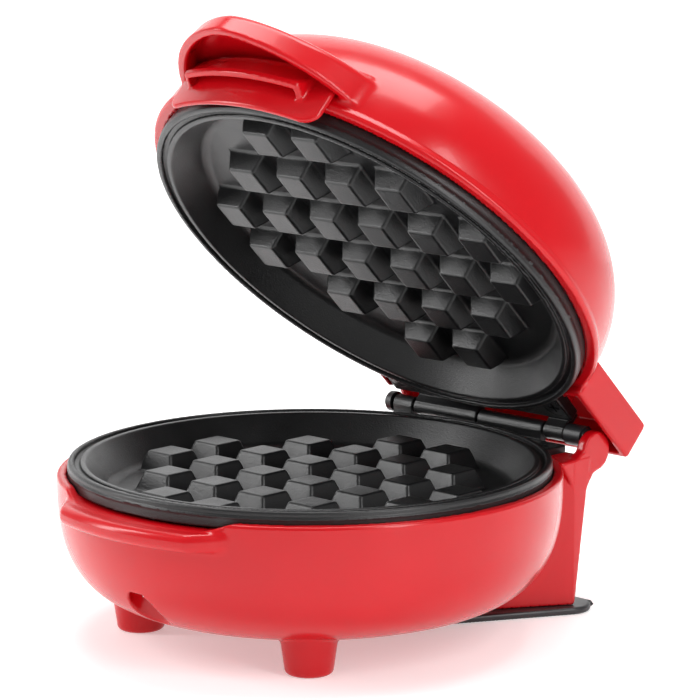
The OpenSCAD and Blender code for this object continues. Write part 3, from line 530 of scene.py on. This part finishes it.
def finger_ledge(x, r, z):
    """Sloping ledge for the fingertips, hollow underneath and closed at its ends."""
    ax = np.abs(x)
    solid_part = polygon(r, z, [(GUARD_IN, GUARD_TOP), (GUARD_OUT - 0.6, GUARD_TOP),
                                (LEDGE_R, LEDGE_Z + 0.7), (LEDGE_R, LEDGE_Z - 0.7),
                                (LEDGE_R - 1.2, LEDGE_Z - 1.2), (GUARD_IN, LEDGE_Z - 3)])
    under = polygon(r, z, [(GUARD_OUT - 0.8, GUARD_TOP - 3), (LEDGE_R - 1.5, LEDGE_Z - 0.2),
                           (LEDGE_R - 1.6, LEDGE_Z - 6), (GUARD_OUT - 0.8, LEDGE_Z - 8)])
    return cut(meet(solid_part, ax - LEDGE_W, 0.9), meet(under, ax - LEDGE_W + LEDGE_WALL, 0.5), 0.4)


def guard_field(x, y, z):
    r = np.hypot(x, y)
    corner = np.hypot(np.maximum(np.abs(x) - GUARD_W + GUARD_CORNER, 0),
                      np.maximum(GUARD_LOW + GUARD_CORNER - z, 0)) - GUARD_CORNER
    panel = meet(slab(r, GUARD_IN, GUARD_OUT), meet(corner, z - GUARD_TOP, 0.7), 0.7)
    d = np.maximum(join(panel, finger_ledge(x, r, z), 0.8), y)
    away, _ = at_guard_screw(x, y, z)
    return cut(d, np.maximum(away - 1.3, r - GUARD_OUT + 0.6), 0.1)


# ---------------------------------------------------------------- cooking plates
# A plate is worked out face up, with its rim plane at z = 0.
FLANGE_UNDER_R, CAST_R, CAST_UNDER = 67.9, 62, -12.8
DISH_R, DISH_EDGE_R, DISH_Z, LIP_Z = 59, 65.4, -9.8, -0.3
GROOVE = (66.9, 68.6, -1.3)                   # inner and outer radius and floor
PITCH, PEG_FOOT, PEG_TOP_Z, PEG_FIELD_R = 19.5, 7.2, -3.8, 57.4
PEG_SLOPE = (0.939, 0.344)                    # normal of a peg's side
LOOP_R, TUBE_R, TUBE_Z = 45, 3.25, -16
KNUCKLE_R, PIN_HOLE_R, BARREL_END = 2.6, 1.56, 37
LONG, SHORT = (0.3, 26.1), (-34.7, -26.7)     # ends of the plate's two knuckles


def casting(x, y, z, post):
    """Solid casting with the ridge for the heating loop and the screw bosses."""
    r = np.hypot(x, y)
    flange = meet(meet(r - PLATE_R, z, 0.8), -FLANGE - z, 0.3)
    body = line(r, z, (CAST_R, CAST_UNDER), (FLANGE_UNDER_R, -FLANGE))
    body = meet(body, CAST_UNDER - z, 1.2)
    d = join(flange, np.maximum(body, z + 2), 0.5)
    d = np.minimum(d, meet(np.abs(r - LOOP_R) - 4.8, slab(z, TUBE_Z, -10), 0.5))
    d = np.minimum(d, meet(r - 4.2, slab(z, -21.8, -10), 0.4))
    if post:
        foot_z = RECESS_Z + RECESS_WALL + 0.1 - PLATE_Z
        d = np.minimum(d, np.maximum(np.hypot(x, y - POST_Y) - 3.4, slab(z, foot_z, -FLANGE)))
    return d


def knuckles(x, hinge, y, z):
    """The plate's two knuckles and the webs that carry them."""
    web = np.maximum(slab(y - HINGE[0], -KNUCKLE_R, 0), slab(z, -TAB_TOP - TAB_T + 0.05, GAP / 2))
    spans = np.minimum(slab(x, *LONG), slab(x, *SHORT))
    return meet(join(hinge - KNUCKLE_R, web, 0.3), spans, 0.35)


def pegs(x, y, z):
    """Square tapered pegs on a grid, without the four corners that the dish has no room for."""
    side = [(np.abs(v - (np.floor(v / PITCH) + 0.5) * PITCH) - PEG_FOOT) * PEG_SLOPE[0]
            + (z - DISH_Z) * PEG_SLOPE[1] for v in (x, y)]
    d = meet(meet(side[0], side[1], 0.8), z - PEG_TOP_Z, 0.55)
    d = meet(d, np.hypot(x, y) - PEG_FIELD_R, 0.9)
    far = np.maximum(np.abs(x), np.abs(y)) > 2 * PITCH
    near = np.minimum(np.abs(x), np.abs(y)) < PITCH
    d = np.where(far & ~near, np.maximum(d, 0.9), d)
    return np.maximum(d, slab(z, -11.5, 0))


def plate_bores(d, x, hinge, y, z):
    """Room for the other plate's knuckles, and the holes of pin, screws and heating tube."""
    r = np.hypot(x, y)
    other = np.minimum(slab(x, SHORT[1], LONG[0]), slab(x, LONG[1], BARREL_END))
    d = cut(d, np.maximum(hinge - KNUCKLE_R - SLIP, other), 0.1)
    d = cut(d, np.maximum(hinge - PIN_HOLE_R, np.abs(x) - BARREL_END), 0.15)
    head = at_tab_screw(x, y) - 1.95 - np.maximum(z + TAB_TOP + 1.75, 0)
    d = cut(d, np.maximum(head, slab(z, -9, -TAB_TOP + 0.5)), 0.1)
    d = cut(d, np.hypot(r - LOOP_R, z - TUBE_Z) - TUBE_R, 0.1)
    return cut(d, np.maximum(r - 1.45, slab(z, -24, -14.8)), 0.1)


def plate_field(x, y, z, post):
    r = np.hypot(x, y)
    hinge = np.hypot(y - HINGE[0], z - GAP / 2)
    tab = brick(x, y, z, (-TAB_W, PLATE_R - 10, -TAB_TOP - TAB_T),
                (TAB_W, HINGE[0] - 2.4, -TAB_TOP), 0.5)
    d = join(casting(x, y, z, post), tab, 0.6)
    d = join(d, knuckles(x, hinge, y, z), 0.3)
    dish = meet(line(r, z, (DISH_R, DISH_Z), (DISH_EDGE_R, LIP_Z)), DISH_Z - z, 1.6)
    d = cut(d, np.maximum(dish, z - 9), 0.45)
    d = join(d, pegs(x, y, z), 0.8)
    d = cut(d, meet(r - GROOVE[0], LIP_Z - z, 0.05), 0.25)
    d = cut(d, meet(slab(r, GROOVE[0], GROOVE[1]), GROOVE[2] - z, 0.35), 0.25)
    return plate_bores(d, x, hinge, y, z)


def lower_plate_field(x, y, z):
    return plate_field(x, y, z - PLATE_Z, True)


def upper_plate_field(x, y, z):
    """The same casting turned over, so x and z change sign."""
    return plate_field(-x, y, LID_RIM - z, False)


# ---------------------------------------------------------------- foot plate
FOOT_PLATE_T = 2.2


def foot_plate_field(x, y, z):
    ax = np.abs(x)
    # the outline is drawn round two circles on each side, given as x, y and radius
    rear = (STAND_W - 4.5, STAND_BACK + 0.2, 7.8)
    front = (STAND_FRONT_W - 12.0, STAND_FRONT - 11, 10.0)
    dx, dy = front[0] - rear[0], front[1] - rear[1]
    t = np.clip(((ax - rear[0]) * dx + (y - rear[1]) * dy) / (dx * dx + dy * dy), 0, 1)
    cap = np.hypot(ax - rear[0] - t * dx, y - rear[1] - t * dy) - (rear[2] + t * (front[2] - rear[2]))
    side = line(ax, y, front[:2], rear[:2])
    core = np.maximum(np.maximum(side, front[1] - front[2] - y), y - rear[1] - rear[2])
    d = meet(np.minimum(cap, core), slab(z, 0, FOOT_PLATE_T), 0.8)
    r = at_foot_screw(x, y)
    d = np.minimum(d, np.maximum(r - 2.4, slab(z, 0.5, 5.35)))
    d = cut(d, r - 1.6, 0.1)
    return cut(d, np.maximum(r - 3.4, z - FOOT_PLATE_T + 0.6), 0.15)


# ---------------------------------------------------------------- moulded pieces
# Each stands in for one CAD node. The numbers are the corners of its grid and the grid's step.
base_shell = moulded("base_shell", base_field, (-78, -82, -2), (78, 84, 56), 0.8)
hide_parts("base_housing")
lid_shell = moulded("lid_shell", lid_field, (-77, -97, 50), (77, 91, 102), 0.8, lid=True)
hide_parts("lid_housing")
guard = moulded("finger_guard", guard_field, (-31, -83, 46), (31, -66, 70), 0.45, lid=True)
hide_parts("handle_guard")
lower = moulded("lower_grid_plate", lower_plate_field, (-73, -73, 20), (73, 80, 56), 0.6)
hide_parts("lower_plate")
upper = moulded("upper_grid_plate", upper_plate_field, (-73, -73, 47), (73, 80, 76), 0.6, lid=True)
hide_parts("upper_plate")
foot = moulded("rear_foot_plate", foot_plate_field, (-52, 16, -2), (52, 78, 8), 0.6)
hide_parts("foot_plate")


# ---------------------------------------------------------------- materials
def material(name, color, rough, metallic=0.0, coat=0.0, coat_rough=0.03, grain=None, speck=None,
             wear=0.0, ior=1.5, tint=0.06, transmission=0.0):
    """Principled surface with its own fine structure.
    grain is (size in mm, bump height in mm); speck is (size in mm, share, colour)."""
    m = bpy.data.materials.new(name)
    m.use_nodes = True
    nt = m.node_tree
    nodes, links = nt.nodes, nt.links
    shader = nodes["Principled BSDF"]
    shader.inputs["Metallic"].default_value = metallic
    shader.inputs["Coat Weight"].default_value = coat
    shader.inputs["Coat Roughness"].default_value = coat_rough
    shader.inputs["IOR"].default_value = ior
    shader.inputs["Transmission Weight"].default_value = transmission
    where = nodes.new("ShaderNodeTexCoord").outputs["Object"]

    def noise(size_mm, detail=2.0, roughness=0.5):
        n = nodes.new("ShaderNodeTexNoise")
        n.inputs["Scale"].default_value = 1000 / size_mm
        n.inputs["Detail"].default_value = detail
        n.inputs["Roughness"].default_value = roughness
        links.new(where, n.inputs["Vector"])
        return n.outputs["Fac"]

    def ramp(source, stops):
        r = nodes.new("ShaderNodeValToRGB")
        links.new(source, r.inputs["Fac"])
        e = r.color_ramp.elements
        for i, (pos, col) in enumerate(stops):
            slot = e[i] if i < 2 else e.new(pos)
            slot.position = pos
            slot.color = (*col, 1) if isinstance(col, tuple) else (col, col, col, 1)
        return r.outputs["Color"]

    broad = noise(24)
    lo = tuple(c * (1 - tint) for c in color)
    hi = tuple(min(1, c * (1 + tint)) for c in color)
    base = ramp(broad, [(0.3, lo), (0.7, hi)])
    if speck:
        size, share, fleck = speck
        mask = ramp(noise(size, 3.0, 0.65), [(1 - share, 0.0), (min(1, 1 - share + 0.06), 1.0)])
        mix = nodes.new("ShaderNodeMix")
        mix.data_type = "RGBA"
        links.new(mask, mix.inputs["Factor"])
        links.new(base, mix.inputs["A"])
        mix.inputs["B"].default_value = (*fleck, 1)
        base = mix.outputs["Result"]
    links.new(base, shader.inputs["Base Color"])
    spread = ramp(noise(9, 4.0), [(0.3, rough * (1 - 0.12 - wear)), (0.7, rough * (1 + 0.12 + wear))])
    links.new(spread, shader.inputs["Roughness"])
    if grain:
        size, height = grain
        bump = nodes.new("ShaderNodeBump")
        bump.inputs["Strength"].default_value = 1.0
        bump.inputs["Distance"].default_value = height / 1000
        links.new(noise(size, 3.0, 0.6), bump.inputs["Height"])
        links.new(bump.outputs["Normal"], shader.inputs["Normal"])
    return m


# The look of each material slot of the record.
RED = material("gloss_red", (0.50, 0.002, 0.006), 0.24, coat=0.12, coat_rough=0.04,
               grain=(9, 0.005), tint=0.03, ior=1.38)
NONSTICK = material("non_stick", (0.008, 0.008, 0.0085), 0.33, grain=(0.5, 0.09),
                    speck=(0.5, 0.34, (0.035, 0.035, 0.038)), tint=0.1)
BLACK = material("satin_black", (0.016, 0.016, 0.018), 0.38, grain=(0.7, 0.02), tint=0.08)
OXIDE = material("blackened_steel", (0.045, 0.045, 0.048), 0.36, metallic=0.8,
                 grain=(0.4, 0.006), wear=0.15)
BY_SLOT = {
    "red_shell": RED,
    "non_stick_casting": NONSTICK,
    "black_plastic": BLACK,
    "black_rubber": material("bushing_rubber", (0.018, 0.018, 0.018), 0.7, grain=(0.5, 0.02)),
    "screw_steel": material("zinc_steel", (0.60, 0.60, 0.60), 0.28, metallic=1.0,
                            grain=(0.4, 0.004), wear=0.15),
    "pin_steel": material("ground_steel", (0.52, 0.52, 0.53), 0.22, metallic=1.0,
                          grain=(0.3, 0.003), wear=0.1),
    "heater_tube": material("heater_tube", (0.34, 0.32, 0.30), 0.4, metallic=1.0,
                            grain=(0.8, 0.01), wear=0.2, tint=0.15),
    "bright_sheet": material("rolled_sheet", (0.75, 0.75, 0.77), 0.3, metallic=1.0,
                             grain=(2.5, 0.006), wear=0.15),
    "cream_plastic": material("cream_plastic", (0.72, 0.66, 0.52), 0.42, grain=(1.2, 0.01)),
    "lead_insulation": material("silicone_lead", (0.72, 0.71, 0.67), 0.5, grain=(0.8, 0.01)),
    "fuse_sleeve": material("woven_sleeve", (0.76, 0.74, 0.68), 0.75, grain=(0.45, 0.06)),
    "dark_ceramic": material("dark_ceramic", (0.05, 0.042, 0.036), 0.5, grain=(0.6, 0.02)),
    "red_lens": material("red_lens", (0.55, 0.02, 0.015), 0.12, coat=0.5, transmission=0.35,
                         grain=(3, 0.003)),
    "green_lens": material("green_lens", (0.04, 0.36, 0.06), 0.12, coat=0.5, transmission=0.35,
                           grain=(3, 0.003)),
}
TAB_SCREWS = ("lower_plate_screws", "upper_plate_screws")


def wear(obj, mat):
    obj.data.materials.clear()
    obj.data.materials.append(mat)


for obj in (base_shell, lid_shell, guard):
    wear(obj, RED)
for obj in (lower, upper):
    wear(obj, NONSTICK)
wear(foot, BLACK)
SLOTS = {s["node"]: s["material_slot"] for s in frame["record"]["subparts"]}
for name, obj in frame["nodes"].items():
    for s in obj.material_slots:
        s.material = OXIDE if name in TAB_SCREWS else BY_SLOT[SLOTS[name]]

# ---------------------------------------------------------------- stage
def pale(name, rough, glow):
    """White card that gives off a little light, so that it stays pale behind the part."""
    m = bpy.data.materials.new(name)
    m.use_nodes = True
    shader = m.node_tree.nodes["Principled BSDF"]
    shader.inputs["Base Color"].default_value = (0.86, 0.86, 0.86, 1)
    shader.inputs["Roughness"].default_value = rough
    shader.inputs["Specular IOR Level"].default_value = 0.1
    shader.inputs["Emission Color"].default_value = (1, 1, 1, 1)
    shader.inputs["Emission Strength"].default_value = glow
    return m


def card(name, points, quads, mat):
    mesh = bpy.data.meshes.new(name)
    mesh.from_pydata(points, [], quads)
    mesh.materials.append(mat)
    obj = bpy.data.objects.new(name, mesh)
    scene.collection.objects.link(obj)
    return mesh


def floor():
    s = 6.0
    corners = [(-s, -s, 0), (s, -s, 0), (s, s, 0), (-s, s, 0)]
    card("floor", corners, [(0, 1, 2, 3)], pale("pale_floor", 0.6, 0.36))


def backdrop():
    """Card that curves up from the floor, square to the camera's view."""
    away = Vector((-back.x, -back.y, 0)).normalized()
    across = Vector((away.y, -away.x, 0))
    half_width = 2.5
    points = []
    for out, height in ((1.0, 0.0), (1.5, 0.05), (1.8, 0.25), (2.0, 0.7), (2.1, 2.0)):
        middle = away * out + Vector((0, 0, height - 0.001))
        points += [middle + across * half_width, middle - across * half_width]
    quads = [(2 * i, 2 * i + 1, 2 * i + 3, 2 * i + 2) for i in range(4)]
    mesh = card("backdrop", points, quads, pale("pale_backdrop", 0.7, 0.7))
    mesh.polygons.foreach_set("use_smooth", [True] * len(quads))


floor()
backdrop()
world = bpy.data.worlds.new("studio")
scene.world = world
world.use_nodes = True
world.node_tree.nodes["Background"].inputs["Color"].default_value = (1, 1, 1, 1)
world.node_tree.nodes["Background"].inputs["Strength"].default_value = 0.42


def softbox(name, at, aim, size, power):
    """Rectangular light that faces the point it aims at."""
    data = bpy.data.lights.new(name, "AREA")
    data.shape = "RECTANGLE"
    data.size, data.size_y = size
    data.energy = power
    obj = bpy.data.objects.new(name, data)
    scene.collection.objects.link(obj)
    obj.location = at
    direction = Vector(aim) - Vector(at)
    obj.rotation_mode = "QUATERNION"
    obj.rotation_quaternion = direction.to_track_quat("-Z", "Y")


softbox("top_box", (-0.1, 0.15, 0.95), (0, 0, 0.09), (0.75, 0.5), 9)
softbox("left_box", (-0.75, -0.7, 0.5), (0, 0, 0.07), (0.2, 0.9), 7)
softbox("right_box", (0.95, -0.1, 0.55), (0, 0, 0.07), (0.2, 0.9), 6)
